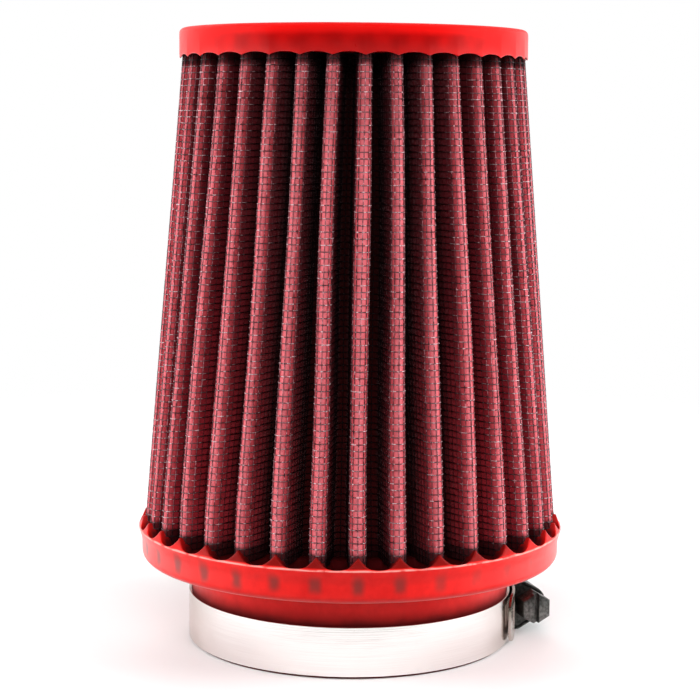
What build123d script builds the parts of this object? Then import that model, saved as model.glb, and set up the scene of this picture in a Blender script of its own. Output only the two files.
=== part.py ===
from build123d import *
import math
import os

os.makedirs("parts", exist_ok=True)

# Neck that slips over the intake pipe
PIPE_DIAMETER = 70.0
NECK_WALL = 3.3
NECK_LENGTH = 20.2

# Moulded ring round the foot of the pleats
RING_WALL = 0.6
RING_BOTTOM_ROUND = 2.0
RING_SIDE_HEIGHT = 5.0
RIM_FLARE_HEIGHT = 2.85
RIM_OVERHANG = 0.9
TOOTH_HEIGHT = 3.1
TOOTH_SETBACK = 0.4
TOOTH_LAND = 0.15
TOOTH_STEPS = 3
TOOTH_ROOT = 0.3

# Pleated wall
PLEATS = 35
PLEAT_PHASE = 3.0
PLEAT_LENGTH = 111.4
CREST_RADIUS_FOOT = 49.6
CREST_RADIUS_TOP = 40.36
CREST_ROUND_FOOT = 1.95
CREST_ROUND_TOP = 1.6
OUTER_BEND_STEPS = 6
CLEAN_BEND_STEPS = 4
INNER_BEND_STEPS = 2
FLANK_LEAN = 2.0
PLEAT_DEPTH = 11.7
MESH_THICKNESS = 0.3
GAUZE_THICKNESS = 0.9
CREST_GAP = 0.06

# Moulded cap on the small end
CAP_LIP = 0.55
CAP_THICKNESS = 6.2
CAP_EDGE_ROUND = 1.2
SCALLOP_HEIGHT = 0.75
SCALLOP_STEPS = 2
SKIRT_SETBACK = 0.02
RECESS_RADIUS = 27.0
RECESS_DEPTH = 0.7

# Clamp band
CLAMP_ANGLE = 15.0
BAND_WIDTH = 11.4
BAND_THICKNESS = 0.7
BAND_SETBACK = 0.7
LAP_START = 7.5
STEP_START = 31.0
STEP_END = 13.0
TAIL_END = 32.0
TAIL_ROUND = 3.0
SLOT_PITCH = 4.7
SLOT_LENGTH = 6.4
SLOT_WIDTH = 1.5
SLOT_LEAN = 7.0
TAIL_SLOTS = 8
LOOP_SLOTS = 10

# Worm housing
HOUSING_LENGTH = 14.0
HOUSING_SHEET = 0.6
HOUSING_SHOULDER = 0.5
BAND_PLAY = 0.05

# Worm screw
SCREW_RISE = 3.75
SHANK_RADIUS = 2.9
TUNNEL_RADIUS = 3.75
JOURNAL_RADIUS = 2.1
PILOT_RADIUS = 1.5
PILOT_OVERHANG = 0.6
RUNNING_CLEARANCE = 0.05
END_PLAY = 0.1
COLLAR_RADIUS = 3.1
COLLAR_LENGTH = 0.9
HEX_ACROSS_FLATS = 7.0
HEX_LENGTH = 4.6
HEX_CHAMFER = 0.4
DRIVER_SLOT_WIDTH = 1.2
DRIVER_SLOT_DEPTH = 1.8

# Levels and radii that follow from the sizes above
bore_radius = PIPE_DIAMETER / 2
neck_radius = bore_radius + NECK_WALL
ring_radius = CREST_RADIUS_FOOT + RING_WALL
rim_radius = ring_radius + RIM_OVERHANG
foot_level = NECK_LENGTH + RING_SIDE_HEIGHT + RIM_FLARE_HEIGHT
cap_level = foot_level + PLEAT_LENGTH
cap_top = cap_level + CAP_THICKNESS
cap_radius = CREST_RADIUS_TOP + CAP_LIP
crest_slope = (CREST_RADIUS_TOP - CREST_RADIUS_FOOT) / PLEAT_LENGTH
half_pitch = math.pi / PLEATS
crest_start = PLEAT_PHASE - 90
corner = 1 - math.sqrt(0.5)


def polar(x, y, turn):
    return (x * math.cos(turn) - y * math.sin(turn), x * math.sin(turn) + y * math.cos(turn))


def fold_points(crest_radius, crest_round, inset, crest_steps, valley_steps):
    lean = math.radians(FLANK_LEAN)
    crest_centre = crest_radius - crest_round
    valley_radius = crest_radius - PLEAT_DEPTH
    reach = math.sin(lean + half_pitch)
    valley_round = (valley_radius * reach - crest_centre * math.sin(lean) - crest_round) / (1 - reach)
    points = []
    for pleat in range(PLEATS):
        turn = math.radians(crest_start) + 2 * half_pitch * pleat
        for step in range(crest_steps + 1):
            swing = (math.pi / 2 - lean) * (2 * step / crest_steps - 1)
            bend = crest_round - inset
            points.append(polar(crest_centre + bend * math.cos(swing), bend * math.sin(swing), turn))
        for step in range(valley_steps + 1):
            swing = (math.pi / 2 - lean - half_pitch) * (2 * step / valley_steps - 1)
            bend = valley_round + inset
            out = valley_radius + valley_round - bend * math.cos(swing)
            points.append(polar(out, bend * math.sin(swing), turn + half_pitch))
    return points


def fold_wall(inset, crest_steps, valley_steps):
    foot = fold_points(CREST_RADIUS_FOOT, CREST_ROUND_FOOT, inset, crest_steps, valley_steps)
    top = fold_points(CREST_RADIUS_TOP, CREST_ROUND_TOP, inset, crest_steps, valley_steps)
    foot = [Vector(x, y, foot_level) for x, y in foot]
    top = [Vector(x, y, cap_level) for x, y in top]
    walls = [
        Face(Wire.make_polygon([foot[k - 1], foot[k], top[k], top[k - 1]]))
        for k in range(len(foot))
    ]
    return Wire.make_polygon(foot), Wire.make_polygon(top), walls


def pleated_sheet(dirty_side, clean_side):
    foot_out, top_out, walls_out = dirty_side
    foot_in, top_in, walls_in = clean_side
    ends = [Face(foot_out, [foot_in]), Face(top_out, [top_in])]
    return Solid(Shell(walls_out + walls_in + ends))


def crest_tooth(foot_in, foot_out, tip_in, tip_out, level, rise, steps):
    half_chord = foot_out * math.tan(half_pitch) - TOOTH_LAND
    height = abs(rise)
    arc_radius = (half_chord ** 2 + height ** 2) / (2 * height)
    arc_angle = math.asin(half_chord / arc_radius)
    bends = [arc_angle * step / steps for step in range(steps + 1)]
    side = [(half_chord + TOOTH_LAND - arc_radius * math.sin(a),
             level + math.copysign(arc_radius * (1 - math.cos(a)), rise)) for a in bends]
    root = level - math.copysign(TOOTH_ROOT, rise)
    with BuildPart() as tooth:
        with BuildSketch(Plane.XZ):
            Polygon((foot_in, root), (foot_out, root), (foot_out, level),
                    (tip_out, level + rise), (tip_in, level + rise), (foot_in, level), align=None)
        extrude(amount=2 * half_chord, both=True)
        with BuildSketch(Plane.YZ):
            Polygon(*side, *[(-y, z) for y, z in reversed(side)],
                    (-half_chord, root), (half_chord, root), align=None)
        extrude(amount=2 * foot_out, mode=Mode.INTERSECT)
    return tooth.part


# Ring and neck, moulded as one piece
tooth_in = CREST_RADIUS_FOOT + CREST_GAP
tooth_tip = tooth_in + crest_slope * TOOTH_HEIGHT
with BuildPart() as base_flange:
    with BuildSketch(Plane.XZ):
        Polygon(
            (bore_radius, 0),
            (neck_radius, 0),
            (neck_radius, NECK_LENGTH),
            (ring_radius - RING_BOTTOM_ROUND, NECK_LENGTH),
            (ring_radius - RING_BOTTOM_ROUND * corner, NECK_LENGTH + RING_BOTTOM_ROUND * corner),
            (ring_radius, NECK_LENGTH + RING_BOTTOM_ROUND),
            (ring_radius, NECK_LENGTH + RING_SIDE_HEIGHT),
            (rim_radius, foot_level),
            (bore_radius, foot_level),
            align=None,
        )
    revolve(axis=Axis.Z)
    foot_tooth = crest_tooth(tooth_in, rim_radius - TOOTH_SETBACK, tooth_tip, tooth_tip + TOOTH_LAND,
                             foot_level, TOOTH_HEIGHT, TOOTH_STEPS)
    with PolarLocations(0, PLEATS, start_angle=crest_start):
        add(foot_tooth)

# Cap that closes the small end
skirt_in = CREST_RADIUS_TOP + CREST_GAP
with BuildPart() as top_cap:
    with BuildSketch(Plane.XZ):
        Polygon(
            (0, cap_level),
            (cap_radius, cap_level),
            (cap_radius, cap_top - CAP_EDGE_ROUND),
            (cap_radius - CAP_EDGE_ROUND * corner, cap_top - CAP_EDGE_ROUND * corner),
            (cap_radius - CAP_EDGE_ROUND, cap_top),
            (RECESS_RADIUS, cap_top),
            (RECESS_RADIUS, cap_top - RECESS_DEPTH),
            (0, cap_top - RECESS_DEPTH),
            align=None,
        )
    revolve(axis=Axis.Z)
    skirt_out = cap_radius * math.cos(half_pitch) - SKIRT_SETBACK
    skirt_tooth = crest_tooth(skirt_in, skirt_out, skirt_in - crest_slope * SCALLOP_HEIGHT, skirt_out,
                              cap_level, -SCALLOP_HEIGHT, SCALLOP_STEPS)
    with PolarLocations(0, PLEATS, start_angle=crest_start):
        add(skirt_tooth)

# Wire screen and cotton, folded together
dirty_face = fold_wall(0, OUTER_BEND_STEPS, INNER_BEND_STEPS)
ply_face = fold_wall(MESH_THICKNESS, OUTER_BEND_STEPS, INNER_BEND_STEPS)
clean_face = fold_wall(MESH_THICKNESS + GAUZE_THICKNESS, INNER_BEND_STEPS, CLEAN_BEND_STEPS)
with BuildPart() as outer_wire_mesh:
    add(pleated_sheet(dirty_face, ply_face))
with BuildPart() as cotton_gauze:
    add(pleated_sheet(ply_face, clean_face))

# Clamp strip: a loop on the neck, a step up behind the housing, and a tail that runs through it
band_level = BAND_SETBACK + BAND_WIDTH / 2
clamp = Plane((0, 0, band_level), z_dir=(0, 0, 1)).rotated((0, 0, CLAMP_ANGLE))
loop_middle = neck_radius + BAND_THICKNESS / 2
loop_outer = neck_radius + BAND_THICKNESS
floor_outer = loop_outer + HOUSING_SHEET
tail_inner = floor_outer + BAND_PLAY
tail_middle = tail_inner + BAND_THICKNESS / 2
tail_outer = tail_inner + BAND_THICKNESS
screw_radius = tail_outer + SCREW_RISE
with BuildPart() as clamp_band:
    with BuildSketch(clamp.offset(-BAND_WIDTH / 2)):
        with BuildLine():
            loop = CenterArc((0, 0), loop_middle, LAP_START, STEP_START - LAP_START - 360)
            tail = CenterArc((0, 0), tail_middle, STEP_END, -STEP_END - TAIL_END)
            Spline(loop @ 1, tail @ 0, tangents=(loop % 1, tail % 0))
        trace(line_width=BAND_THICKNESS)
    extrude(amount=BAND_WIDTH)
    tail_tip = clamp.from_local_coords(Vector(tail_outer, 0, 0).rotate(Axis.Z, -TAIL_END))
    short_edges = clamp_band.edges().filter_by(lambda edge: abs(edge.length - BAND_THICKNESS) < 0.01)
    fillet(short_edges.sort_by_distance(tail_tip)[:2], TAIL_ROUND)
    first_slot = SLOT_PITCH - TAIL_END
    with Locations(clamp):
        with PolarLocations(tail_middle, TAIL_SLOTS, start_angle=first_slot,
                            angular_range=TAIL_SLOTS * SLOT_PITCH):
            Box(1.5 * BAND_THICKNESS, SLOT_WIDTH, SLOT_LENGTH,
                rotation=(SLOT_LEAN, 0, 0), mode=Mode.SUBTRACT)
        with PolarLocations(loop_outer, LOOP_SLOTS, start_angle=first_slot + TAIL_SLOTS * SLOT_PITCH,
                            angular_range=LOOP_SLOTS * SLOT_PITCH):
            Box(4 * BAND_THICKNESS, SLOT_WIDTH, SLOT_LENGTH,
                rotation=(SLOT_LEAN, 0, 0), mode=Mode.SUBTRACT)

# Pressed housing that sits on the loop, with the tail and the screw inside
head_side = -clamp.y_dir
across = Plane(clamp.origin, clamp.x_dir, head_side)
passage_width = BAND_WIDTH + 2 * BAND_PLAY
roof_outer = tail_outer + HOUSING_SHOULDER
with BuildPart() as clamp_housing:
    with BuildSketch(across):
        with Locations(((neck_radius + roof_outer + HOUSING_SHEET) / 2, 0)):
            Rectangle(roof_outer + HOUSING_SHEET - neck_radius, passage_width + 2 * HOUSING_SHEET)
        with Locations((screw_radius, 0)):
            Circle(TUNNEL_RADIUS + HOUSING_SHEET)
        make_hull()
    extrude(amount=HOUSING_LENGTH / 2, both=True)
    with BuildSketch(across):
        with Locations(((tail_middle + roof_outer) / 2, 0)):
            Rectangle(roof_outer - tail_middle, passage_width)
        with Locations((screw_radius, 0)):
            Circle(TUNNEL_RADIUS)
        make_hull()
    extrude(amount=HOUSING_LENGTH / 2 - HOUSING_SHEET, both=True, mode=Mode.SUBTRACT)
    with BuildSketch(clamp):
        Circle(tail_outer + BAND_PLAY)
        Circle(floor_outer, mode=Mode.SUBTRACT)
    extrude(amount=passage_width / 2, both=True, mode=Mode.SUBTRACT)
    with Locations(clamp):
        Cylinder(loop_outer, 2 * BAND_WIDTH, mode=Mode.SUBTRACT)
    with BuildSketch(across):
        with Locations((screw_radius, 0)):
            Circle(JOURNAL_RADIUS + RUNNING_CLEARANCE)
    extrude(amount=HOUSING_LENGTH, mode=Mode.SUBTRACT)
    with BuildSketch(across):
        with Locations((screw_radius, 0)):
            Circle(PILOT_RADIUS + RUNNING_CLEARANCE)
    extrude(amount=-HOUSING_LENGTH, mode=Mode.SUBTRACT)

# Worm screw with a hex head and a driver slot
screw_centre = clamp.from_local_coords(Vector(screw_radius, 0, 0))
shank_half = HOUSING_LENGTH / 2 - HOUSING_SHEET - END_PLAY
collar_start = HOUSING_LENGTH / 2 + END_PLAY
hex_start = collar_start + COLLAR_LENGTH
with BuildPart() as clamp_screw:
    with BuildSketch(Plane(screw_centre, clamp.x_dir, (0, 0, -1))):
        with BuildLine():
            Polyline(
                (0, -HOUSING_LENGTH / 2 - PILOT_OVERHANG),
                (PILOT_RADIUS, -HOUSING_LENGTH / 2 - PILOT_OVERHANG),
                (PILOT_RADIUS, -shank_half),
                (SHANK_RADIUS, -shank_half),
                (SHANK_RADIUS, shank_half),
                (JOURNAL_RADIUS, shank_half),
                (JOURNAL_RADIUS, collar_start),
                (COLLAR_RADIUS, collar_start),
                (COLLAR_RADIUS, hex_start),
                (0, hex_start),
                close=True,
            )
        make_face()
    revolve(axis=Axis(screw_centre, head_side))
    with BuildSketch(Plane(screw_centre + head_side * hex_start, clamp.x_dir, head_side)):
        RegularPolygon(HEX_ACROSS_FLATS / 2, 6, major_radius=False)
    extrude(amount=HEX_LENGTH)
    chamfer(clamp_screw.faces().sort_by(Axis(screw_centre, head_side))[-1].edges(), HEX_CHAMFER)
    with Locations(Plane(screw_centre + head_side * (hex_start + HEX_LENGTH), clamp.x_dir, head_side)):
        Box(DRIVER_SLOT_WIDTH, 2 * HEX_ACROSS_FLATS, 2 * DRIVER_SLOT_DEPTH, mode=Mode.SUBTRACT)

base_flange.part.label = "base_flange"
export_step(base_flange.part, "parts/base_flange.step")
top_cap.part.label = "top_cap"
export_step(top_cap.part, "parts/top_cap.step")
outer_wire_mesh.part.label = "outer_wire_mesh"
export_step(outer_wire_mesh.part, "parts/outer_wire_mesh.step")
cotton_gauze.part.label = "cotton_gauze"
export_step(cotton_gauze.part, "parts/cotton_gauze.step")
clamp_band.part.label = "clamp_band"
export_step(clamp_band.part, "parts/clamp_band.step")
clamp_housing.part.label = "clamp_housing"
export_step(clamp_housing.part, "parts/clamp_housing.step")
clamp_screw.part.label = "clamp_screw"
export_step(clamp_screw.part, "parts/clamp_screw.step")
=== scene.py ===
import math

import bmesh
import bpy
from mathutils import Matrix, Vector


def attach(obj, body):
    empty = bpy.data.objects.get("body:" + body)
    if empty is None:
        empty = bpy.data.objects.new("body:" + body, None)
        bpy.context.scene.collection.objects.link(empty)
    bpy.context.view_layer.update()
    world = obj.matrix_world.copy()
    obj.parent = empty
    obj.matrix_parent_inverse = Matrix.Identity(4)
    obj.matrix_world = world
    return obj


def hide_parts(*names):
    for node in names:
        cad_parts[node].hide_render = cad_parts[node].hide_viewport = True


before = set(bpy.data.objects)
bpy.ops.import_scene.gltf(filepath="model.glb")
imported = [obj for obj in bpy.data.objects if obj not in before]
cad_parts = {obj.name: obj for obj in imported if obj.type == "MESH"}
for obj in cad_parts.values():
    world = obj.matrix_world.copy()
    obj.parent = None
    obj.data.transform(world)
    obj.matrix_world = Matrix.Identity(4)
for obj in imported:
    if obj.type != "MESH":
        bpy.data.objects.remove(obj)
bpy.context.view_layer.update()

# Cotton gauze: several plies of loose cotton cloth, dyed red and oiled, folded into upright pleats
# round a cone. The pleats are creased over a former, so every crest and valley is a small round bend.
MILLIMETRE = 0.001
WELD = 0.01
PLEATS = 35
HALF_PITCH = math.pi / PLEATS
FIRST_CREST = math.radians(3 - 90)
FLANK_LEAN = math.radians(2)
PLEAT_DEPTH = 11.7
FOOT_LEVEL = 28.05
FOOT_CREST = 49.6
FOOT_BEND = 1.95
TOP_LEVEL = 139.45
TOP_CREST = 40.36
TOP_BEND = 1.6
WALL_HEIGHT = TOP_LEVEL - FOOT_LEVEL
WALL_TAPER = (FOOT_CREST - TOP_CREST) / WALL_HEIGHT
POTTED = 1.6
SCREEN_THICKNESS = 0.3
GAUZE_THICKNESS = 0.9
GAUZE_ROWS = 16


def walk(start):
    chain = [start]
    came_by = None
    while True:
        onward = [edge for edge in chain[-1].link_edges if edge is not came_by]
        if not onward:
            return chain
        came_by = onward[0]
        chain.append(came_by.other_vert(chain[-1]))


def half_fold(bm, level, crest, bend, inset, crest_steps, flank_steps, valley_steps):
    crest_centre = crest - bend
    valley = crest - PLEAT_DEPTH
    reach = math.sin(FLANK_LEAN + HALF_PITCH)
    hollow = (valley * reach - crest_centre * math.sin(FLANK_LEAN) - bend) / (1 - reach)
    crest_swing = math.pi / 2 - FLANK_LEAN
    valley_swing = crest_swing - HALF_PITCH
    to_valley = Matrix.Rotation(HALF_PITCH, 3, "Z")
    valley_centre = to_valley @ Vector((valley + hollow, 0, level))
    into_valley = Vector((-math.cos(valley_swing), -math.sin(valley_swing), 0)) * (hollow + inset)
    first = bm.verts.new((crest - inset, 0, level))
    crest_arc = bmesh.ops.spin(bm, geom=[first], cent=(crest_centre, 0, level), axis=(0, 0, 1),
                               angle=crest_swing, steps=crest_steps)
    bend_end = [part for part in crest_arc["geom_last"] if isinstance(part, bmesh.types.BMVert)][0]
    flank_run = valley_centre + to_valley @ into_valley - bend_end.co
    flank_end = bend_end
    for step in range(flank_steps):
        flank_end = bmesh.ops.extrude_vert_indiv(bm, verts=[flank_end])["verts"][0]
        bmesh.ops.translate(bm, vec=flank_run / flank_steps, verts=[flank_end])
    bmesh.ops.spin(bm, geom=[flank_end], cent=valley_centre, axis=(0, 0, 1),
                   angle=-valley_swing, steps=valley_steps)
    return walk(first)


# The crests aren't evenly spaced. Each level has a mean turn, a swing and the angle where it starts.
RING_CROWDING = (math.radians(-0.5), math.radians(2.1), math.radians(75))
FOOT_CROWDING = (math.radians(-0.5), math.radians(3.3), math.radians(75))
TOP_CROWDING = (math.radians(-0.6), math.radians(1.8), math.radians(-136))
HELD_BY_RING = 0.15
PLEAT_SWAY = 0.2
SWAY_WAVES = ((6, 3.1, 0.0), (11, -4.2, 1.3), (14, 2.3, 0.6))


def crowding(turn, height):
    ring, foot, top = [mean + swing * math.sin(turn + start)
                       for mean, swing, start in (RING_CROWDING, FOOT_CROWDING, TOP_CROWDING)]
    held = max(0.0, 1 - max(0.0, height) / HELD_BY_RING) ** 2
    return foot + (top - foot) * height + (ring - foot) * held


def sway(vert):
    turn = math.atan2(vert.co.y, vert.co.x)
    height = (vert.co.z - FOOT_LEVEL) / WALL_HEIGHT
    loose = math.sin(math.pi * min(1.0, max(0.0, height)))
    shift = sum(math.sin(count * turn + climb * height + start) for count, climb, start in SWAY_WAVES)
    along = Vector((-vert.co.y, vert.co.x, 0)).normalized()
    vert.co += along * (PLEAT_SWAY * loose * shift)
    vert.co.rotate(Matrix.Rotation(crowding(turn, height), 3, "Z"))


def is_upright(edge):
    return abs(edge.verts[0].co.z - edge.verts[1].co.z) > 0.1


def pleated_wall(inset, crest_steps, flank_steps, valley_steps, rows):
    bm = bmesh.new()
    from_crest = bm.verts.layers.float.new("from_crest")
    rims = []
    low_end = (FOOT_LEVEL - POTTED, FOOT_CREST + WALL_TAPER * POTTED, FOOT_BEND)
    for level, crest, bend in (low_end, (TOP_LEVEL, TOP_CREST, TOP_BEND)):
        chain = half_fold(bm, level, crest, bend, inset, crest_steps, flank_steps, valley_steps)
        for before, vert in zip(chain, chain[1:]):
            vert[from_crest] = before[from_crest] + (vert.co - before.co).length
            rims.append(bm.edges.get((before, vert)))
    bmesh.ops.bridge_loops(bm, edges=rims)
    upright = [edge for edge in bm.edges if is_upright(edge)]
    bmesh.ops.subdivide_edges(bm, edges=upright, cuts=rows - 1, use_grid_fill=True)
    bmesh.ops.mirror(bm, geom=bm.verts[:] + bm.edges[:] + bm.faces[:], axis="Y", merge_dist=WELD)
    bmesh.ops.spin(bm, geom=bm.verts[:] + bm.edges[:] + bm.faces[:], cent=(0, 0, 0), axis=(0, 0, 1),
                   angle=2 * HALF_PITCH * (PLEATS - 1), steps=PLEATS - 1, use_duplicate=True)
    bmesh.ops.remove_doubles(bm, verts=bm.verts, dist=WELD)
    bmesh.ops.rotate(bm, cent=(0, 0, 0), matrix=Matrix.Rotation(FIRST_CREST, 3, "Z"), verts=bm.verts)
    bmesh.ops.recalc_face_normals(bm, faces=bm.faces)
    for vert in bm.verts:
        sway(vert)
    return bm


def piece_of(bm, name):
    bmesh.ops.scale(bm, vec=(MILLIMETRE, MILLIMETRE, MILLIMETRE), verts=bm.verts)
    mesh = bpy.data.meshes.new(name)
    bm.to_mesh(mesh)
    bm.free()
    mesh.polygons.foreach_set("use_smooth", [True] * len(mesh.polygons))
    piece = bpy.data.objects.new(name, mesh)
    bpy.context.scene.collection.objects.link(piece)
    return piece


class Look:
    """One value in a material. Sums on it add Math nodes, and node() adds any other node."""

    def __init__(self, tree, socket=None):
        self.tree = tree
        self.socket = socket

    def node(self, kind, settings, inputs, output=0):
        made = self.tree.nodes.new(kind)
        for name, value in settings.items():
            setattr(made, name, value)
        for key, value in inputs.items():
            if isinstance(value, Look):
                self.tree.links.new(value.socket, made.inputs[key])
            else:
                made.inputs[key].default_value = value
        return Look(self.tree, made.outputs[output])

    def sum(self, operation, *values):
        return self.node("ShaderNodeMath", {"operation": operation}, dict(enumerate(values)))

    def __add__(self, other):
        return self.sum("ADD", self, other)

    __radd__ = __add__

    def __sub__(self, other):
        return self.sum("SUBTRACT", self, other)

    def __rsub__(self, other):
        return self.sum("SUBTRACT", other, self)

    def __mul__(self, other):
        return self.sum("MULTIPLY", self, other)

    __rmul__ = __mul__

    def __truediv__(self, other):
        return self.sum("DIVIDE", self, other)

    def __pow__(self, other):
        return self.sum("POWER", self, other)

    def __abs__(self):
        return self.sum("ABSOLUTE", self)

    def rise(self, low, high):
        return self.node("ShaderNodeMapRange", {"interpolation_type": "SMOOTHSTEP"},
                         {"Value": self, "From Min": low, "From Max": high})

    def place(self):
        return self.node("ShaderNodeTexCoord", {}, {}, "Object")

    def grain(self, scale, detail=3.0):
        return self.node("ShaderNodeTexNoise", {"noise_dimensions": "3D"},
                         {"Vector": self.place(), "Scale": scale, "Detail": detail, "Roughness": 0.55})

    def parted(self):
        first = self.node("ShaderNodeSeparateXYZ", {}, {0: self})
        return [Look(self.tree, socket) for socket in first.socket.node.outputs]

    def millimetres(self):
        scaled = self.node("ShaderNodeVectorMath", {"operation": "SCALE"},
                           {0: self.place(), "Scale": 1 / MILLIMETRE})
        return scaled.parted()

    def height(self):
        return self.millimetres()[2]

    def from_axis(self):
        x, y = self.millimetres()[:2]
        return (x * x + y * y) ** 0.5

    def blend(self, first, second):
        return self.node("ShaderNodeMix", {"data_type": "RGBA"}, {0: self, 6: first, 7: second}, 2)

    def stain(self, first, second):
        return self.node("ShaderNodeMix", {"data_type": "RGBA", "blend_type": "MULTIPLY"},
                         {0: self, 6: first, 7: second}, 2)

    def bump(self, distance, strength):
        return self.node("ShaderNodeBump", {}, {"Height": self, "Distance": distance, "Strength": strength})


def finish(name, **sockets):
    material = bpy.data.materials.new(name)
    material.use_nodes = True
    shader = material.node_tree.nodes["Principled BSDF"]
    for key, value in sockets.items():
        socket = shader.inputs[key.replace("_", " ")]
        if callable(value):
            value = value(Look(material.node_tree))
        if isinstance(value, Look):
            material.node_tree.links.new(value.socket, socket)
        else:
            socket.default_value = value
    return material


# Gauze colours hold painted light: a painted highlight on each crest, painted shade on the flanks and
# near-black painted shade in the valleys.
GAUZE_CREST_HIGHLIGHT = (0.94, 0.22, 0.255, 1)
GAUZE_CREST = (0.80, 0.105, 0.13, 1)
GAUZE_FLANK_SHADE = (0.165, 0.011, 0.018, 1)
GAUZE_LOW_FLANK = (0.45, 0.028, 0.043, 1)
GAUZE_VALLEY_SHADE = (0.030, 0.004, 0.004, 1)
GAUZE_LOW_VALLEY = (0.080, 0.008, 0.009, 1)
GAUZE_END_SHADE = (0.055, 0.006, 0.008, 1)
GAUZE_TOP_SHADE = (0.68, 0.62, 0.62, 1)
GAUZE_OIL_STAIN = (0.55, 0.36, 0.38, 1)
GAUZE_GAP = (0.02, 0.002, 0.003, 1)
GAUZE_INSIDE = (0.72, 0.15, 0.17, 1)
GAUZE_INSIDE_OILED = (0.46, 0.05, 0.06, 1)
THREAD_PITCH = 0.36


def across_fold(look):
    return look.node("ShaderNodeAttribute", {"attribute_name": "from_crest"}, {}, "Fac")


def threads(across):
    turns = across * (2 * math.pi / THREAD_PITCH)
    return abs(turns.sum("SINE", turns))


def weave(look):
    return threads(across_fold(look)) * 0.5 + threads(look.height()) * 0.5


# Painted shade on the gauze beside the base ring and under the cap, with a ragged edge.
def end_shade(look):
    level = look.height() + look.grain(600.0) * 1.2 - 0.6
    above_base = level.rise(FOOT_LEVEL + 2.2, FOOT_LEVEL + 3.8)
    below_cap = 1 - level.rise(TOP_LEVEL - 3.2, TOP_LEVEL - 2.0)
    return 1 - above_base * below_cap


def gauze_colour(look):
    across = across_fold(look)
    # Towards the foot the flanks and valleys are painted lighter: painted light from the floor below.
    low = 1 - look.height().rise(FOOT_LEVEL, TOP_LEVEL - 30)
    # From crest to valley the colour runs from a painted highlight to painted shade on the flanks and
    # darker painted shade in the valleys.
    crest = across.rise(0.2, 1.3).blend(GAUZE_CREST_HIGHLIGHT, GAUZE_CREST)
    flank = across.rise(1.0, 3.1).blend(crest, low.blend(GAUZE_FLANK_SHADE, GAUZE_LOW_FLANK))
    cloth = across.rise(3.5, 10.0).blend(flank, low.blend(GAUZE_VALLEY_SHADE, GAUZE_LOW_VALLEY))
    # Darker towards the top of the pleats, under the cap: painted shade.
    top_shaded = look.height().rise(TOP_LEVEL - 28, TOP_LEVEL - 4).stain(cloth, GAUZE_TOP_SHADE)
    # Painted shade at both ends of the pleats.
    end_shaded = (end_shade(look) * 0.9).blend(top_shaded, GAUZE_END_SHADE)
    oil_and_shade = look.grain(160.0) * 0.4 + look.grain(750.0) * 0.6
    darker = (oil_and_shade.rise(0.38, 0.66) * 0.38).stain(end_shaded, GAUZE_OIL_STAIN)
    return (weave(look) * 0.10).blend(darker, GAUZE_GAP)


def clean_side(look):
    patchy = look.grain(120.0) * 0.5 + look.grain(600.0) * 0.3 + weave(look) * 0.2
    return patchy.rise(0.3, 0.7).blend(GAUZE_INSIDE_OILED, GAUZE_INSIDE)


def cotton(name, colour):
    return finish(
        name,
        Base_Color=colour,
        Roughness=lambda look: look.grain(700.0) * 0.2 + 0.72,
        Normal=lambda look: (weave(look) + look.grain(1500.0) * 0.7).bump(0.0002, 0.7),
        Specular_IOR_Level=0.15,
        Sheen_Weight=0.10,
        Sheen_Roughness=0.3,
        Sheen_Tint=(1.0, 0.66, 0.70, 1),
    )


folded = pleated_wall(inset=SCREEN_THICKNESS, crest_steps=5, flank_steps=1, valley_steps=3, rows=GAUZE_ROWS)
gauze = piece_of(folded, "pleated_gauze")
plies = gauze.modifiers.new("plies", "SOLIDIFY")
plies.thickness = GAUZE_THICKNESS * MILLIMETRE
plies.offset = -1
plies.material_offset = 1
plies.material_offset_rim = 1
gauze.data.materials.append(cotton("oiled_cotton", gauze_colour))
gauze.data.materials.append(cotton("clean_cotton", clean_side))
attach(gauze, "filter")
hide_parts("cotton_gauze")

# Outer screen: fine coated wire woven into a square mesh, laid over the cotton and folded with it.
# The wires along each pleat run from end to end, and the cross wires follow every fold.
WIRE_RADIUS = 0.1
CROSS_WIRES = 79
LONG_WIRE_ROWS = 10
HALF_WAY = (FOOT_LEVEL + TOP_LEVEL) / 2


def cross_wall(upper):
    bm = pleated_wall(inset=WIRE_RADIUS, crest_steps=3, flank_steps=1, valley_steps=2, rows=CROSS_WIRES)
    gone = [vert for vert in bm.verts if (vert.co.z > HALF_WAY) != upper]
    bmesh.ops.delete(bm, geom=gone, context="VERTS")
    return bm


def wires_from(bm, name, lengthways):
    spare = [edge for edge in bm.edges if is_upright(edge) != lengthways]
    bmesh.ops.delete(bm, geom=spare, context="EDGES_FACES")
    drawn = piece_of(bm, name + "_line")
    for other in bpy.context.selected_objects:
        other.select_set(False)
    bpy.context.view_layer.objects.active = drawn
    drawn.select_set(True)
    bpy.ops.object.convert(target="CURVE")
    line = bpy.context.view_layer.objects.active
    line.data.bevel_depth = WIRE_RADIUS * MILLIMETRE
    line.data.bevel_resolution = 0
    line.data.use_fill_caps = True
    for spline in line.data.splines:
        spline.use_smooth = True
    mesh = bpy.data.meshes.new_from_object(line.evaluated_get(bpy.context.evaluated_depsgraph_get()))
    mesh.name = name
    bpy.data.objects.remove(line)
    wires = bpy.data.objects.new(name, mesh)
    bpy.context.scene.collection.objects.link(wires)
    return wires


# Wire colours hold painted light: the pale specks are painted glints, and the dark flank and valley colours
# are painted shade.
WIRE_COAT = (0.042, 0.015, 0.017, 1)
CROSS_RUBBED = (0.25, 0.14, 0.15, 1)
CROSS_GLINT = (0.83, 0.62, 0.65, 1)
LONG_RUBBED = (0.30, 0.085, 0.10, 1)
LONG_GLINT = (0.66, 0.27, 0.31, 1)
WIRE_SHADE = (0.008, 0.003, 0.004, 1)
LONG_WIRE_SHADE = (0.10, 0.008, 0.012, 1)


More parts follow.
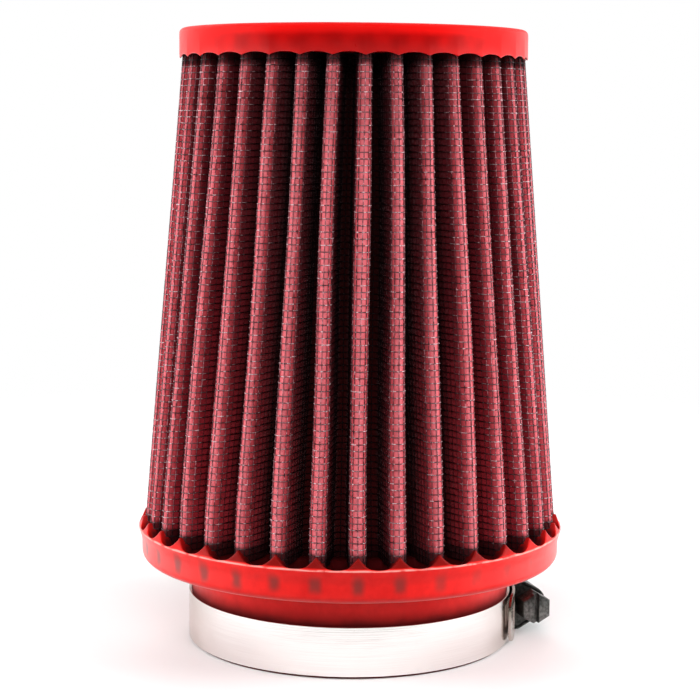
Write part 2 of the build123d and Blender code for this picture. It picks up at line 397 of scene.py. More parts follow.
def wire_colour(look, rubbed, glint, flank_shade):
    depth = FOOT_CREST - (look.height() - FOOT_LEVEL) * WALL_TAPER - look.from_axis()
    coat = look.grain(500.0).rise(0.3, 0.7).blend(WIRE_COAT, rubbed)
    # Pale specks along the wires are painted glints.
    highlit = look.grain(1300.0).rise(0.49, 0.66).blend(coat, glint)
    # Deeper in the folds, and beside the ring and under the cap, the wires are painted dark: painted shade.
    flank = depth.rise(1.2, 3.6).blend(highlit, flank_shade)
    valley = depth.rise(4.0, 8.5)
    return valley.sum("MAXIMUM", valley, end_shade(look) * 0.95).blend(flank, WIRE_SHADE)


def coated_wire(name, rubbed, glint, flank_shade):
    return finish(
        name,
        Base_Color=lambda look: wire_colour(look, rubbed, glint, flank_shade),
        Roughness=lambda look: look.grain(900.0) * 0.25 + 0.22,
        Metallic=0.25,
    )


cross_finish = coated_wire("coated_cross_wire", CROSS_RUBBED, CROSS_GLINT, WIRE_SHADE)
long_finish = coated_wire("coated_long_wire", LONG_RUBBED, LONG_GLINT, LONG_WIRE_SHADE)
long_wall = pleated_wall(inset=SCREEN_THICKNESS - WIRE_RADIUS, crest_steps=2, flank_steps=6, valley_steps=1,
                         rows=LONG_WIRE_ROWS)
screen = [
    (wires_from(cross_wall(upper=False), "screen_cross_wires_lower", lengthways=False), cross_finish),
    (wires_from(cross_wall(upper=True), "screen_cross_wires_upper", lengthways=False), cross_finish),
    (wires_from(long_wall, "screen_long_wires", lengthways=True), long_finish),
]
for wires, wire_finish in screen:
    wires.data.materials.clear()
    wires.data.materials.append(wire_finish)
    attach(wires, "filter")
    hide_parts("outer_wire_mesh")

# Base: one casting of red, slightly clear polyurethane, a ring round the foot of the pleats and the
# neck under it. The mould leaves a tooth up each crest and a round notch in front of each valley.
BORE_RADIUS = 35.0
NECK_RADIUS = 38.3
NECK_LENGTH = 20.2
LIP_ROUND = 0.5
THROAT_ROUND = 1.5
RING_RADIUS = 50.2
RING_ROUND = 2.0
RING_SHOULDER = 25.2
SHOULDER_ROUND = 1.2
RIM_RADIUS = 51.1
RIM_ROUND = 0.42
RIM_WOBBLE = 0.05
RIM_WAVES = ((23, 0), (41, 1), (67, 2))
TOOTH_HEIGHT = 2.6
TOOTH_HALF = 4.41
TOOTH_OUT = 50.75
TOOTH_IN = 49.75
TOOTH_BACK = 47.2
SCOOP_DEPTH = 1.4
SCOOP_INNER = 40.0
SCOOP_BEGINS = 1.2
SCOOP_FULL = 3.0
TURN_STEPS = PLEATS * 26
FINE_WELD = 0.002


def outline(bm, points, closed):
    verts = [bm.verts.new((radius, 0, level)) for radius, level in points]
    for first, second in zip(verts, verts[1:]):
        bm.edges.new((first, second))
    if closed:
        bm.edges.new((verts[-1], verts[0]))


def rounded(bm, corner, radius, segments):
    place = Vector((corner[0], 0, corner[1]))
    nearest = min(bm.verts, key=lambda vert: (vert.co - place).length)
    bmesh.ops.bevel(bm, geom=[nearest], offset=radius, offset_type="OFFSET", segments=segments,
                    profile=0.5, affect="VERTICES", material=-1)


def divided(bm, inner, outer, level, cuts):
    run = [edge for edge in bm.edges
           if all(inner - WELD < vert.co.x < outer + WELD and abs(vert.co.z - level) < WELD
                  for vert in edge.verts)]
    bmesh.ops.subdivide_edges(bm, edges=run, cuts=cuts)


def turned(bm, steps):
    bmesh.ops.spin(bm, geom=bm.verts[:] + bm.edges[:], cent=(0, 0, 0), axis=(0, 0, 1),
                   angle=2 * math.pi, steps=steps, use_merge=True)
    bmesh.ops.remove_doubles(bm, verts=bm.verts, dist=FINE_WELD)
    bmesh.ops.recalc_face_normals(bm, faces=bm.faces)


def beside_crest(vert, height):
    turn = math.atan2(vert.co.y, vert.co.x)
    even = turn - crowding(turn - crowding(turn, height), height) - FIRST_CREST + HALF_PITCH
    return math.hypot(vert.co.x, vert.co.y) * (even % (2 * HALF_PITCH) - HALF_PITCH)


def share(value, low, high):
    return min(1.0, max(0.0, (value - low) / (high - low)))


def eased(value, low, high):
    straight = share(value, low, high)
    return straight * straight * (3 - 2 * straight)


def notch(aside, half, height):
    bow = (half * half + height * height) / (2 * height)
    reach = max(0.0, half - abs(aside))
    return bow - math.sqrt(bow * bow - reach * reach)


casting = bmesh.new()
outline(casting, [
    (BORE_RADIUS, 0), (NECK_RADIUS, 0), (NECK_RADIUS, NECK_LENGTH), (RING_RADIUS, NECK_LENGTH),
    (RING_RADIUS, RING_SHOULDER), (RIM_RADIUS, FOOT_LEVEL), (TOOTH_BACK, FOOT_LEVEL),
    (SCOOP_INNER, FOOT_LEVEL), (BORE_RADIUS, FOOT_LEVEL),
], closed=True)
rounded(casting, (BORE_RADIUS, 0), LIP_ROUND, segments=3)
rounded(casting, (NECK_RADIUS, 0), LIP_ROUND, segments=3)
rounded(casting, (NECK_RADIUS, NECK_LENGTH), THROAT_ROUND, segments=4)
rounded(casting, (RING_RADIUS, NECK_LENGTH), RING_ROUND, segments=7)
rounded(casting, (RING_RADIUS, RING_SHOULDER), SHOULDER_ROUND, segments=4)
rounded(casting, (RIM_RADIUS, FOOT_LEVEL), RIM_ROUND, segments=4)
divided(casting, TOOTH_BACK, RIM_RADIUS, FOOT_LEVEL, cuts=22)
divided(casting, SCOOP_INNER, TOOTH_BACK, FOOT_LEVEL, cuts=6)
turned(casting, TURN_STEPS)
for vert in casting.verts:
    radius = math.hypot(vert.co.x, vert.co.y)
    if vert.co.z > FOOT_LEVEL - WELD and radius > SCOOP_INNER + 0.1:
        aside = beside_crest(vert, height=0)
        front = max(0.0, TOOTH_HEIGHT * (TOOTH_OUT - radius) / (TOOTH_OUT - TOOTH_IN))
        back = share(radius, TOOTH_BACK + 0.3, TOOTH_BACK + 1.1)
        scoop = eased(abs(aside), SCOOP_BEGINS, SCOOP_FULL) * eased(-radius, -TOOTH_OUT, -FOOT_CREST)
        scoop *= eased(radius, SCOOP_INNER + 1, SCOOP_INNER + 4)
        vert.co.z += min(notch(aside, TOOTH_HALF, TOOTH_HEIGHT), front) * back - SCOOP_DEPTH * scoop
    if vert.co.z > FOOT_LEVEL - 0.6 and radius > RIM_RADIUS - 0.3:
        turn = math.atan2(vert.co.y, vert.co.x)
        vert.co.z += RIM_WOBBLE * sum(math.sin(count * turn + start) for count, start in RIM_WAVES)
base = piece_of(casting, "base_casting")

# Some base colours are painted light: shade on the notch floors, the tooth tips, the front teeth and the
# neck, and a highlight on the rim.
RED_DEEP = (0.68, 0.006, 0.005, 1)
RED_BRIGHT = (0.84, 0.014, 0.011, 1)
RING_SMUDGE = (0.23, 0.026, 0.022, 1)
NOTCH_FLOOR_SHADE = (0.070, 0.004, 0.005, 1)
NECK_SHADE = (0.070, 0.002, 0.002, 1)
TOOTH_TIP_SHADE = (0.36, 0.006, 0.006, 1)
TOOTH_FRONT_SHADE = (0.21, 0.005, 0.004, 1)
RIM_HIGHLIGHT = (0.86, 0.36, 0.32, 1)
NECK_SHADE_FULL = 12.4
NECK_SHADE_END = 16.8
RING_SMUDGE_LOW = 22.4
RING_SMUDGE_HIGH = 26.8


def clear_red(look, deep, bright):
    clouds = look.grain(90.0, detail=2.0) * 0.6 + look.grain(420.0) * 0.4
    return clouds.rise(0.32, 0.68).blend(deep, bright)


def over_crest(look, crowd):
    mean, swing, start = crowd
    x, y = look.millimetres()[:2]
    turn = y.sum("ARCTAN2", y, x)
    swung = turn + start
    even = turn - swung.sum("SINE", swung) * swing - (mean + FIRST_CREST - HALF_PITCH)
    pitch = even * (1 / (2 * HALF_PITCH))
    return abs(pitch.sum("FRACT", pitch) - 0.5) * 2


def smudged(look, low, high, crowd, width):
    beside = over_crest(look, crowd) + look.grain(190.0) * 0.3 - 0.15
    fold = 1 - beside.rise(width * 0.25, width * 1.6)
    level = look.height() + look.grain(120.0) * 2.4 - 1.2
    band = level.rise(low - 1.0, low + 1.4) * (1 - level.rise((low + high) / 2, high + 1.0))
    return fold * band * look.grain(60.0).rise(0.1, 0.5)


def outer_side(look):
    return look.from_axis().rise(BORE_RADIUS + 0.6, BORE_RADIUS + 1.6)


# Painted shade on the outside of the neck under the ring, darkest next to the clamp band.
def shaded_neck(look):
    return (1 - (look.height() + look.grain(220.0)).rise(NECK_SHADE_FULL, NECK_SHADE_END)) * outer_side(look)


def base_red(look):
    x, y, z = look.millimetres()
    out = look.from_axis()
    cleaner = (1 - x.rise(4, 34) * 0.55) * outer_side(look)
    marked = smudged(look, RING_SMUDGE_LOW, RING_SMUDGE_HIGH, RING_CROWDING, width=0.28) * cleaner * 0.9
    cast = marked.blend(clear_red(look, RED_DEEP, RED_BRIGHT), RING_SMUDGE)
    # Painted shade on the tooth tips.
    tip = z.rise(FOOT_LEVEL + 0.35, FOOT_LEVEL + 2.55) * 0.85
    tipped = tip.blend(shaded_neck(look).blend(cast, NECK_SHADE), TOOTH_TIP_SHADE)
    # More painted shade on the teeth that face the front.
    facing = ((0 - y) / out + look.grain(70.0) * 0.2 - 0.1).rise(0.55, 0.85)
    oil_and_shade = facing * z.rise(FOOT_LEVEL + 0.07, FOOT_LEVEL + 0.45) * 0.95
    tooth = oil_and_shade.blend(tipped, TOOTH_FRONT_SHADE)
    # A painted highlight along the rim's edge.
    edge = out.rise(RIM_RADIUS - 0.4, RIM_RADIUS - 0.15) * z.rise(FOOT_LEVEL - 0.47, FOOT_LEVEL - 0.23)
    highlit = (edge * look.grain(420.0).rise(0.25, 0.55) * 0.9).blend(tooth, RIM_HIGHLIGHT)
    # Painted shade on the floors between the teeth, behind the rim.
    inner = 1 - out.rise(RIM_RADIUS - 2.1, RIM_RADIUS - 0.4)
    notch_shade = inner * z.rise(FOOT_LEVEL - 4.05, FOOT_LEVEL - 1.85)
    below_tip = 1 - z.rise(FOOT_LEVEL + 0.25, FOOT_LEVEL + 2.45)
    return (notch_shade * below_tip * outer_side(look)).blend(highlit, NOTCH_FLOOR_SHADE)


def satin(look):
    return look.grain(600.0) * 0.10 + 0.25


# Rougher where the neck shade is painted.
def base_satin(look):
    return satin(look) + shaded_neck(look) * 0.4


def cast_red(name, colour, roughness):
    return finish(
        name,
        Base_Color=colour,
        Roughness=roughness,
        Normal=lambda look: (look.grain(260.0, detail=2.0) + look.grain(1400.0) * 0.15).bump(0.0002, 0.12),
        Specular_IOR_Level=0.22,
        Subsurface_Weight=0.15,
        Subsurface_Radius=(1.0, 0.12, 0.08),
        Subsurface_Scale=0.0015,
    )


base.data.materials.append(cast_red("cast_red_base", base_red, base_satin))
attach(base, "filter")
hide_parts("base_flange")

# Cap: a disc of the same polyurethane, cast over the small end of the pleats so that it closes it.
# Its lower edge dips on every crest and arches over every valley, and the top has a shallow recess.
CAP_RADIUS = 40.91
CAP_TOP = 145.65
CAP_ROUND = 1.2
CAP_LIP_ROUND = 0.2
RECESS_RADIUS = 27.0
RECESS_FLOOR = 26.3
RECESS_DEPTH = 0.7
RECESS_ROUND = 0.35
SCALLOP_HEIGHT = 0.75
SCALLOP_HALF = 3.52
SCALLOP_INNER = 38.5
SCALLOP_OUTER = 40.3

disc = bmesh.new()
outline(disc, [
    (0, TOP_LEVEL), (SCALLOP_INNER, TOP_LEVEL), (CAP_RADIUS, TOP_LEVEL), (CAP_RADIUS, CAP_TOP),
    (RECESS_RADIUS, CAP_TOP), (RECESS_FLOOR, CAP_TOP - RECESS_DEPTH), (0, CAP_TOP - RECESS_DEPTH),
], closed=False)
rounded(disc, (CAP_RADIUS, TOP_LEVEL), CAP_LIP_ROUND, segments=2)
rounded(disc, (CAP_RADIUS, CAP_TOP), CAP_ROUND, segments=6)
rounded(disc, (RECESS_RADIUS, CAP_TOP), RECESS_ROUND, segments=3)
rounded(disc, (RECESS_FLOOR, CAP_TOP - RECESS_DEPTH), RECESS_ROUND, segments=3)
divided(disc, SCALLOP_INNER, CAP_RADIUS, TOP_LEVEL, cuts=6)
turned(disc, TURN_STEPS)
for vert in disc.verts:
    radius = math.hypot(vert.co.x, vert.co.y)
    if vert.co.z < TOP_LEVEL + 0.5 and radius > SCALLOP_INNER + 0.1:
        outer = share(radius, SCALLOP_OUTER, SCALLOP_OUTER + 0.2)
        vert.co.z -= notch(beside_crest(vert, height=1), SCALLOP_HALF, SCALLOP_HEIGHT) * outer
cap = piece_of(disc, "cap_casting")

# Two cap colours are painted light: shade on the front and in the recess corner, and a highlight round the
# top edge.
CAP_DEEP = (0.66, 0.0015, 0.0015, 1)
CAP_BRIGHT = (0.80, 0.003, 0.0025, 1)
CAP_SMUDGE = (0.36, 0.0015, 0.0015, 1)
CAP_EDGE_HIGHLIGHT = (0.74, 0.004, 0.003, 1)
CAP_SHADE = (0.60, 0.3, 0.3, 1)
CAP_DUST = (0.50, 0.016, 0.014, 1)
CAP_SMUDGE_LOW = 140.0
CAP_SMUDGE_HIGH = 143.6


def cap_red(look):
    y, z = look.millimetres()[1:]
    out = look.from_axis()
    front = (0 - y) / out + look.grain(70.0) * 0.16 - 0.08
    nearer = front.rise(0.50, 0.85) * 0.5
    marked = smudged(look, CAP_SMUDGE_LOW, CAP_SMUDGE_HIGH, TOP_CROWDING, width=0.6) * nearer
    cast = marked.blend(clear_red(look, CAP_DEEP, CAP_BRIGHT), CAP_SMUDGE)
    top = z.rise(CAP_TOP - 0.95, CAP_TOP - 0.75)
    # Painted shade on the front of the cap's side.
    front_shaded = (front.rise(0.60, 0.92) * (1 - top)).stain(cast, CAP_SHADE)
    dusty = (look.grain(38.0) * 0.6 + look.grain(330.0) * 0.4).rise(0.42, 0.62) * top
    dulled = (dusty * 0.5).blend(front_shaded, CAP_DUST)
    # Painted shade in the corner of the top recess.
    corner = (1 - abs(out - (RECESS_RADIUS - 0.6)).rise(0.2, 1.3)) * top
    recessed = (corner * 0.75).stain(dulled, CAP_SHADE)
    # A painted highlight round the cap's top edge.
    edge = (z + look.grain(200.0)).rise(CAP_TOP - 2.45, CAP_TOP - 0.65)
    return (edge * out.rise(CAP_RADIUS - 3.91, CAP_RADIUS - 1.71)).blend(recessed, CAP_EDGE_HIGHLIGHT)


def cap_satin(look):
    top = look.height().rise(CAP_TOP - 0.95, CAP_TOP - 0.45)
    return satin(look) + look.grain(38.0).rise(0.4, 0.65) * top * 0.18


cap.data.materials.append(cast_red("cast_red_cap", cap_red, cap_satin))
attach(cap, "filter")
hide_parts("top_cap")

# Clamp band: one strip of bright stainless steel, rolled round the neck. Its punched tail laps over
# the loop and runs through the housing, where the worm bites into the slots.
CLAMP_TURN = math.radians(15)
BAND_LEVEL = 6.4
BAND_WIDTH = 11.4
BAND_THICKNESS = 0.7
BAND_EDGE_BREAK = 0.13
LOOP_MIDDLE = 38.65
LOOP_STEPS = 160
LAP_START = 7.5
STEP_FROM = -329.0
STEP_TO = -347.0
TAIL_MIDDLE = 40.0
TAIL_END = -392.0
TAIL_ROUND = 3.0
TAIL_STEPS = 3
SLOT_PITCH = 4.7
SLOTS = 18
SLOT_FIRST = -387.3
SLOT_LENGTH = 6.4
SLOT_WIDTH = 1.5
SLOT_ROUND = 0.45
SLOT_LEAN = math.radians(7)
PER_DEGREE = math.radians(1) * TAIL_MIDDLE

strip = bmesh.new()
slot_edge = bmesh.ops.create_grid(strip, x_segments=1, y_segments=1, size=0.5)["verts"]
bmesh.ops.scale(strip, vec=(SLOT_WIDTH, SLOT_LENGTH, 1), verts=slot_edge)
bmesh.ops.bevel(strip, geom=slot_edge, offset=SLOT_ROUND, offset_type="OFFSET", segments=3, profile=0.5,
                affect="VERTICES", material=-1)
bmesh.ops.rotate(strip, cent=(0, 0, 0), matrix=Matrix.Rotation(SLOT_LEAN, 3, "Z"), verts=strip.verts)
bmesh.ops.delete(strip, geom=strip.faces[:], context="FACES_ONLY")
slot_loop = strip.edges[:]
cell = bmesh.ops.create_grid(strip, x_segments=1, y_segments=1, size=0.5)["verts"]
bmesh.ops.scale(strip, vec=(SLOT_PITCH * PER_DEGREE, BAND_WIDTH, 1), verts=cell)
cell_face = list({face for vert in cell for face in vert.link_faces})
bmesh.ops.delete(strip, geom=cell_face, context="FACES_ONLY")
cell_edges = [edge for edge in strip.edges if edge not in slot_loop]
sides = [edge for edge in cell_edges if abs(edge.verts[0].co.x - edge.verts[1].co.x) < WELD]
ends = [edge for edge in cell_edges if edge not in sides]
bmesh.ops.subdivide_edges(strip, edges=sides, cuts=5)
bmesh.ops.subdivide_edges(strip, edges=ends, cuts=1)
bmesh.ops.bridge_loops(strip, edges=strip.edges[:])
bmesh.ops.spin(strip, geom=strip.verts[:] + strip.edges[:] + strip.faces[:], cent=(0, 0, 0), axis=(0, 0, 1),
               dvec=(SLOT_PITCH * PER_DEGREE, 0, 0), angle=0, steps=SLOTS - 1, use_duplicate=True)
bmesh.ops.remove_doubles(strip, verts=strip.verts, dist=WELD)
bmesh.ops.translate(strip, vec=(SLOT_FIRST * PER_DEGREE, 0, 0), verts=strip.verts)
slots_from = (SLOT_FIRST - SLOT_PITCH / 2) * PER_DEGREE
slots_to = (SLOT_FIRST + SLOT_PITCH * (SLOTS - 0.5)) * PER_DEGREE
for place, end, steps in ((slots_from, TAIL_END, TAIL_STEPS), (slots_to, LAP_START, LOOP_STEPS)):
    side = [edge for edge in strip.edges if all(abs(vert.co.x - place) < WELD for vert in edge.verts)]
    side_verts = list({vert for edge in side for vert in edge.verts})
    bmesh.ops.spin(strip, geom=side_verts + side, cent=(0, 0, 0), axis=(0, 0, 1),
                   dvec=((end * PER_DEGREE - place) / steps, 0, 0), angle=0, steps=steps)
for vert in strip.verts:
    turn = vert.co.x / PER_DEGREE
    from_tip = (turn - TAIL_END) * PER_DEGREE
    if from_tip < TAIL_ROUND:
        short = TAIL_ROUND - math.sqrt(max(0.0, TAIL_ROUND ** 2 - (TAIL_ROUND - from_tip) ** 2))
        vert.co.y *= 1 - 2 * short / BAND_WIDTH
    radius = LOOP_MIDDLE + (TAIL_MIDDLE - LOOP_MIDDLE) * eased(-turn, -STEP_FROM, -STEP_TO)
    angle = CLAMP_TURN + math.radians(turn)
    vert.co = (radius * math.cos(angle), radius * math.sin(angle), BAND_LEVEL + vert.co.y)
bmesh.ops.recalc_face_normals(strip, faces=strip.faces)
band = piece_of(strip, "clamp_strip")
gauge = band.modifiers.new("gauge", "SOLIDIFY")
gauge.thickness = BAND_THICKNESS * MILLIMETRE
gauge.offset = 0


def broken_edges(piece, width, segments, sharper_than):
    bevel = piece.modifiers.new("broken_edges", "BEVEL")
    bevel.width = width * MILLIMETRE
    bevel.segments = segments
    bevel.angle_limit = math.radians(sharper_than)
    bevel.harden_normals = True


broken_edges(band, BAND_EDGE_BREAK, segments=2, sharper_than=40)

# One steel colour is painted light: the darker, warmer sides of the band are a painted reflection.
STEEL_CLEAN = (0.96, 0.95, 0.93, 1)
STEEL_DRAWN = (0.88, 0.86, 0.84, 1)
STEEL_SIDE_SHADE = (0.50, 0.42, 0.37, 1)
STEEL_HEATED = (0.34, 0.34, 0.28, 1)
ROLLED_GRAIN = (60.0, 60.0, 9000.0)


def rolled(look):
    drawn = look.node("ShaderNodeMapping", {}, {"Vector": look.place(), "Scale": ROLLED_GRAIN})
    return look.node("ShaderNodeTexNoise", {}, {"Vector": drawn, "Scale": 1.0, "Detail": 2.0})


def tail_end(look):
    return look.from_axis().rise(TAIL_MIDDLE - 0.8, TAIL_MIDDLE - 0.2)


def stainless(look):
    y, z = look.millimetres()[1:]
    bright = rolled(look).rise(0.3, 0.7).blend(STEEL_DRAWN, STEEL_CLEAN)
    facing = (0 - y) / look.from_axis() + look.grain(60.0) * 0.3 - 0.15
    # Darker and warmer towards the band's sides: a painted reflection of the shaded floor beside it.
    side_shaded = ((1 - facing.rise(0.18, 0.72)) * (rolled(look) * 0.5 + 0.65)).blend(bright, STEEL_SIDE_SHADE)
    tip = (0 - y).rise(7.0, 10.5) * (z + look.grain(300.0) * 2).rise(BAND_LEVEL + 0.2, BAND_LEVEL + 3.0)
    return (tail_end(look) * tip).blend(side_shaded, STEEL_HEATED)


band.data.materials.append(finish(
    "bright_stainless",
    Base_Color=stainless,
    Metallic=1.0,
    Roughness=lambda look: rolled(look) * 0.10 + look.grain(70.0) * 0.06 + tail_end(look) * 0.12 + 0.06,
    Normal=lambda look: rolled(look).bump(0.00004, 0.3),
))
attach(band, "filter")
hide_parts("clamp_band")

# Worm housing: pressed from dark plated sheet, folded over the screw and clinched on to the band.
# It is a short tunnel, wide at its foot and round over the worm.
HOUSING_FOOT = 39.05
HOUSING_SHOULDER = 41.45
HOUSING_HALF_WIDTH = 6.35
HOUSING_HALF_LENGTH = 7.0
HOUSING_WALL = 0.6
HOUSING_DISH = 0.45
HOUSING_ROUND = 0.28
TUNNEL_RADIUS = 4.35
SCREW_OUT = 44.1
clamp_place = Matrix.Translation((0, 0, BAND_LEVEL)) @ Matrix.Rotation(CLAMP_TURN, 4, "Z")

tunnel = bmesh.new()
for end in (-HOUSING_HALF_LENGTH, HOUSING_HALF_LENGTH):
    lay = Matrix.Translation((SCREW_OUT, end, 0)) @ Matrix.Rotation(math.pi / 2, 4, "X")
    bmesh.ops.create_circle(tunnel, segments=40, radius=TUNNEL_RADIUS, matrix=lay)
    for out in (HOUSING_FOOT, HOUSING_SHOULDER):
        for edge_level in (-HOUSING_HALF_WIDTH, HOUSING_HALF_WIDTH):
            tunnel.verts.new((out, end, edge_level))
hull = bmesh.ops.convex_hull(tunnel, input=tunnel.verts[:])
loose = set(hull["geom_interior"] + hull["geom_unused"])
inside = [part for part in loose if isinstance(part, bmesh.types.BMVert)]
bmesh.ops.delete(tunnel, geom=inside, context="VERTS")
bmesh.ops.dissolve_limit(tunnel, angle_limit=math.radians(2), verts=tunnel.verts[:], edges=tunnel.edges[:])
end_faces = [face for face in tunnel.faces if abs(face.normal.y) > 0.9]
bmesh.ops.inset_region(tunnel, faces=end_faces, thickness=HOUSING_WALL, depth=0.0, use_even_offset=True)
dished = [face for face in tunnel.faces if abs(face.normal.y) > 0.9 and len(face.verts) > 8]
for face in dished:
    pressed = bmesh.ops.extrude_discrete_faces(tunnel, faces=[face])["faces"][0]
    inwards = -math.copysign(HOUSING_DISH, pressed.normal.y)
    bmesh.ops.translate(tunnel, vec=(0, inwards, 0), verts=pressed.verts[:])
bmesh.ops.remove_doubles(tunnel, verts=tunnel.verts, dist=FINE_WELD)
bmesh.ops.recalc_face_normals(tunnel, faces=tunnel.faces)
bmesh.ops.transform(tunnel, matrix=clamp_place, verts=tunnel.verts)
housing = piece_of(tunnel, "worm_housing")
broken_edges(housing, HOUSING_ROUND, segments=3, sharper_than=35)

HOUSING_DARK = (0.030, 0.031, 0.028, 1)
HOUSING_LIGHT = (0.095, 0.097, 0.090, 1)


def mottled(look, dark, light):
    return (look.grain(240.0) * 0.4 + look.grain(1400.0) * 0.6).rise(0.38, 0.66).blend(dark, light)


def plated(name, dark, light, roughness):
    return finish(
        name,
        Base_Color=lambda look: mottled(look, dark, light),
        Metallic=0.75,
        Roughness=lambda look: look.grain(420.0) * 0.25 + roughness,
        Normal=lambda look: (look.grain(900.0) + look.grain(180.0) * 0.5).bump(0.0002, 0.10),
    )


housing.data.materials.append(plated("dark_plated_housing", HOUSING_DARK, HOUSING_LIGHT, roughness=0.26))
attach(housing, "filter")
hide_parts("clamp_housing")

# Worm screw: turned and rolled from dark plated steel, with a hex head, a washer face and a driver
# slot. It runs in the two end walls of the housing and turns there.
PILOT_RADIUS = 1.5
PILOT_END = -7.6
PILOT_ROUND = 0.3
SHANK_RADIUS = 2.9
SHANK_HALF = 6.3
SHANK_STEPS = 40
JOURNAL_RADIUS = 2.1
COLLAR_START = 7.1
COLLAR_RADIUS = 3.1
COLLAR_ROUND = 0.2
HEX_START = 8.0
HEX_LENGTH = 4.6
HEX_FLATS = 7.0
HEX_CHAMFER = 0.55
HEX_OVERLAP = 0.05
DRIVER_WIDTH = 1.2
DRIVER_DEPTH = 1.8
WORM_PITCH = 3.2
WORM_TURNS = 3
WORM_STEPS = 84
WORM_ROOT = 2.8
WORM_TOP = 3.55
WORM_START = -5.6
RIDGE_WIDTH = 1.0
RIDGE_FLANK = 0.3
SCREW_EDGE_BREAK = 0.12
screw_place = clamp_place @ Matrix.Translation((SCREW_OUT, 0, 0)) @ Matrix.Rotation(math.pi / 2, 4, "X")

shaft = bmesh.new()
outline(shaft, [
    (0, PILOT_END), (PILOT_RADIUS, PILOT_END), (PILOT_RADIUS, -SHANK_HALF), (SHANK_RADIUS, -SHANK_HALF),
    (SHANK_RADIUS, SHANK_HALF), (JOURNAL_RADIUS, SHANK_HALF), (JOURNAL_RADIUS, COLLAR_START),
    (COLLAR_RADIUS, COLLAR_START), (COLLAR_RADIUS, HEX_START + HEX_OVERLAP), (0, HEX_START + HEX_OVERLAP),
], closed=False)
rounded(shaft, (PILOT_RADIUS, PILOT_END), PILOT_ROUND, segments=2)
rounded(shaft, (COLLAR_RADIUS, COLLAR_START), COLLAR_ROUND, segments=2)
turned(shaft, SHANK_STEPS)

thread = bmesh.new()
outline(thread, [
    (WORM_ROOT, WORM_START), (WORM_TOP, WORM_START + RIDGE_FLANK),
    (WORM_TOP, WORM_START + RIDGE_WIDTH - RIDGE_FLANK), (WORM_ROOT, WORM_START + RIDGE_WIDTH),
], closed=True)
bmesh.ops.contextual_create(thread, geom=thread.edges[:])
bmesh.ops.spin(thread, geom=thread.verts[:] + thread.edges[:] + thread.faces[:], cent=(0, 0, 0),
               axis=(0, 0, 1), angle=2 * math.pi * WORM_TURNS, steps=WORM_STEPS,
               dvec=(0, 0, WORM_TURNS * WORM_PITCH / WORM_STEPS))
bmesh.ops.recalc_face_normals(thread, faces=thread.faces)

head = bmesh.new()
bmesh.ops.create_circle(head, cap_ends=True, segments=6, radius=HEX_FLATS / math.sqrt(3))
bmesh.ops.translate(head, vec=(0, 0, HEX_START), verts=head.verts)
raised = bmesh.ops.extrude_face_region(head, geom=head.faces[:])["geom"]
raised_verts = [part for part in raised if isinstance(part, bmesh.types.BMVert)]
bmesh.ops.translate(head, vec=(0, 0, HEX_LENGTH), verts=raised_verts)
bmesh.ops.recalc_face_normals(head, faces=head.faces)
top_edges = [edge for edge in head.edges if all(vert.co.z > HEX_START + 1 for vert in edge.verts)]
bmesh.ops.bevel(head, geom=top_edges, offset=HEX_CHAMFER, offset_type="OFFSET", segments=2, profile=0.5,
                affect="EDGES", material=-1)
cutter = bmesh.new()
bmesh.ops.create_cube(cutter, size=1.0)
bmesh.ops.scale(cutter, vec=(DRIVER_WIDTH, 3 * HEX_FLATS, 2 * DRIVER_DEPTH), verts=cutter.verts)
bmesh.ops.translate(cutter, vec=(0, 0, HEX_START + HEX_LENGTH), verts=cutter.verts)
cutter_piece = piece_of(cutter, "driver_slot_cutter")
head_piece = piece_of(head, "slotted_head")
sawn = head_piece.modifiers.new("sawn", "BOOLEAN")
sawn.operation = "DIFFERENCE"
sawn.object = cutter_piece
slotted = bpy.data.meshes.new_from_object(head_piece.evaluated_get(bpy.context.evaluated_depsgraph_get()))
bpy.data.objects.remove(cutter_piece)
bpy.data.objects.remove(head_piece)

bmesh.ops.scale(shaft, vec=(MILLIMETRE, MILLIMETRE, MILLIMETRE), verts=shaft.verts)
shaft.from_mesh(slotted)
bmesh.ops.scale(shaft, vec=(1 / MILLIMETRE, 1 / MILLIMETRE, 1 / MILLIMETRE), verts=shaft.verts)
thread_mesh = bpy.data.meshes.new("worm_thread")
thread.to_mesh(thread_mesh)
thread.free()
shaft.from_mesh(thread_mesh)
bmesh.ops.transform(shaft, matrix=screw_place, verts=shaft.verts)
screw = piece_of(shaft, "worm_screw")
broken_edges(screw, SCREW_EDGE_BREAK, segments=2, sharper_than=35)

SCREW_DARK = (0.07, 0.071, 0.066, 1)
SCREW_LIGHT = (0.21, 0.21, 0.20, 1)
screw.data.materials.clear()
screw.data.materials.append(plated("dark_plated_screw", SCREW_DARK, SCREW_LIGHT, roughness=0.2))
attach(screw, "clamp_screw")
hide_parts("clamp_screw")

# Studio: a pale floor that fades into a white room, a soft box at each side and weaker ones in front
# and behind. The camera stands a little above the middle of the filter and looks slightly down at it.
FLOOR_RADIUS = 1200
FLOOR_SEEN = (0.98, 0.98, 0.98, 1)
FLOOR_LIT = (0.25, 0.25, 0.25, 1)
ROOM_FILL = 0.28
FLOOR_FILL = 0.16
FRONT_WALL = 0.03
TABLE_GLOW = 2.2
LENS = 96.3
LOOKING_DOWN = math.radians(7.28)
ROLL = math.radians(-0.45)


def in_view(look):
    seen, mirrored, through = [look.node("ShaderNodeLightPath", {}, {}, ray) for ray in
                               ("Is Camera Ray", "Is Glossy Ray", "Is Transmission Ray")]
    return seen, seen.sum("MAXIMUM", seen.sum("MAXIMUM", seen, mirrored), through)


def floor_shown(look):
    return in_view(look)[1].blend(FLOOR_LIT, FLOOR_SEEN)


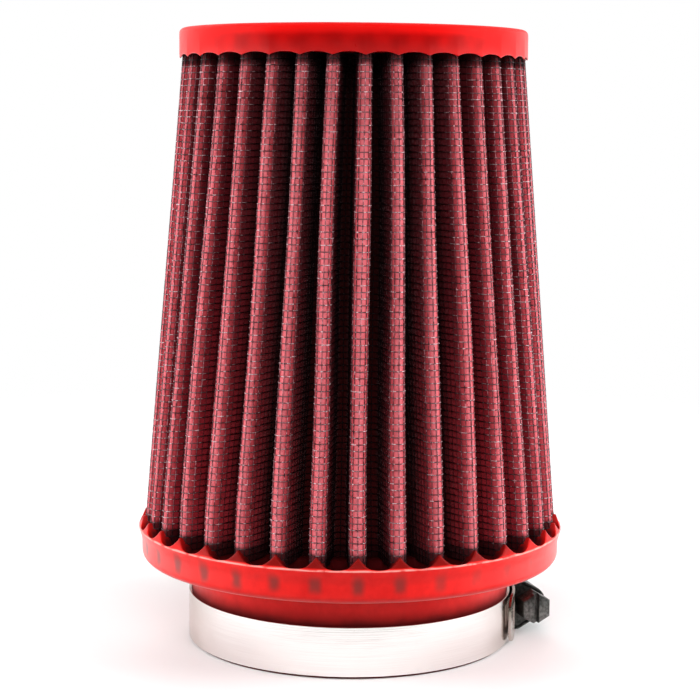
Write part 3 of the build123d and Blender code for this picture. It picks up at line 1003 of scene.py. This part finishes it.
floor_disc = bmesh.new()
bmesh.ops.create_circle(floor_disc, cap_ends=True, segments=96, radius=FLOOR_RADIUS)
floor = piece_of(floor_disc, "floor")
floor_finish = finish("pale_floor", Base_Color=floor_shown, Roughness=0.7, Specular_IOR_Level=0.0)
paint = Look(floor_finish.node_tree)
under = paint.node("ShaderNodeNewGeometry", {}, {}, "Backfacing")
mirrored = paint.node("ShaderNodeLightPath", {}, {}, "Is Glossy Ray")
away = paint.from_axis()
gone = away.rise(100, 420)
fade = 1 - (1 - gone.sum("MAXIMUM", gone, away.rise(75, 110) * mirrored)) * (1 - under)
solid = Look(floor_finish.node_tree, floor_finish.node_tree.nodes["Principled BSDF"].outputs[0])
clear = paint.node("ShaderNodeBsdfTransparent", {}, {})
surface = paint.node("ShaderNodeMixShader", {}, {0: fade, 1: solid, 2: clear})
floor_output = floor_finish.node_tree.nodes["Material Output"]
floor_finish.node_tree.links.new(surface.socket, floor_output.inputs["Surface"])
floor.data.materials.append(floor_finish)
floor.visible_diffuse = False

world = bpy.data.worlds.new("white_room")
world.use_nodes = True
bpy.context.scene.world = world
room = Look(world.node_tree)
seen, open_to = in_view(room)
y, z = room.node("ShaderNodeTexCoord", {}, {}, "Generated").parted()[1:]
above = z.rise(-0.23, -0.14)
wall = 1 - (0 - y).rise(0.05, 0.60) * (1 - FRONT_WALL)
table = 1 + y.rise(-0.80, -0.25) * (1 - y.rise(0.2, 0.9) * 0.75) * TABLE_GLOW
reflected = wall * above + table * (1 - above)
fill = ROOM_FILL + (1 - z.rise(-0.15, 0.05)) * FLOOR_FILL
brightness = seen + (1 - seen) * (open_to * reflected + (1 - open_to) * fill)
backdrop = world.node_tree.nodes["Background"]
backdrop.inputs["Color"].default_value = (1, 1, 1, 1)
world.node_tree.links.new(brightness.socket, backdrop.inputs["Strength"])


def soft_box(name, place, width, height, power):
    lamp = bpy.data.lights.new(name, "AREA")
    lamp.shape = "RECTANGLE"
    lamp.size = width
    lamp.size_y = height
    lamp.energy = power
    holder = bpy.data.objects.new(name, lamp)
    holder.location = place
    middle = Vector((0, 0, 0.08))
    holder.rotation_euler = (middle - holder.location).to_track_quat("-Z", "Y").to_euler()
    holder.visible_glossy = False
    bpy.context.scene.collection.objects.link(holder)


soft_box("left_box", (-0.72, -0.14, 0.24), width=0.45, height=0.6, power=6.8)
soft_box("right_box", (0.72, -0.14, 0.24), width=0.45, height=0.6, power=7.8)
soft_box("front_box", (0.0, -0.85, 0.60), width=0.6, height=0.4, power=4.5)
soft_box("back_box", (0.0, 0.80, 0.45), width=0.6, height=0.4, power=4.2)

camera = bpy.data.objects.new("camera", bpy.data.cameras.new("camera"))
camera.data.sensor_width = 36.0
camera.data.lens = LENS
camera.data.clip_start = 0.01
camera.location = (-0.00075, -0.4465, 0.1268)
camera.rotation_euler = (math.pi / 2 - LOOKING_DOWN, ROLL, 0)
bpy.context.scene.collection.objects.link(camera)
bpy.context.scene.camera = camera
bpy.context.scene.view_settings.view_transform = "Standard"
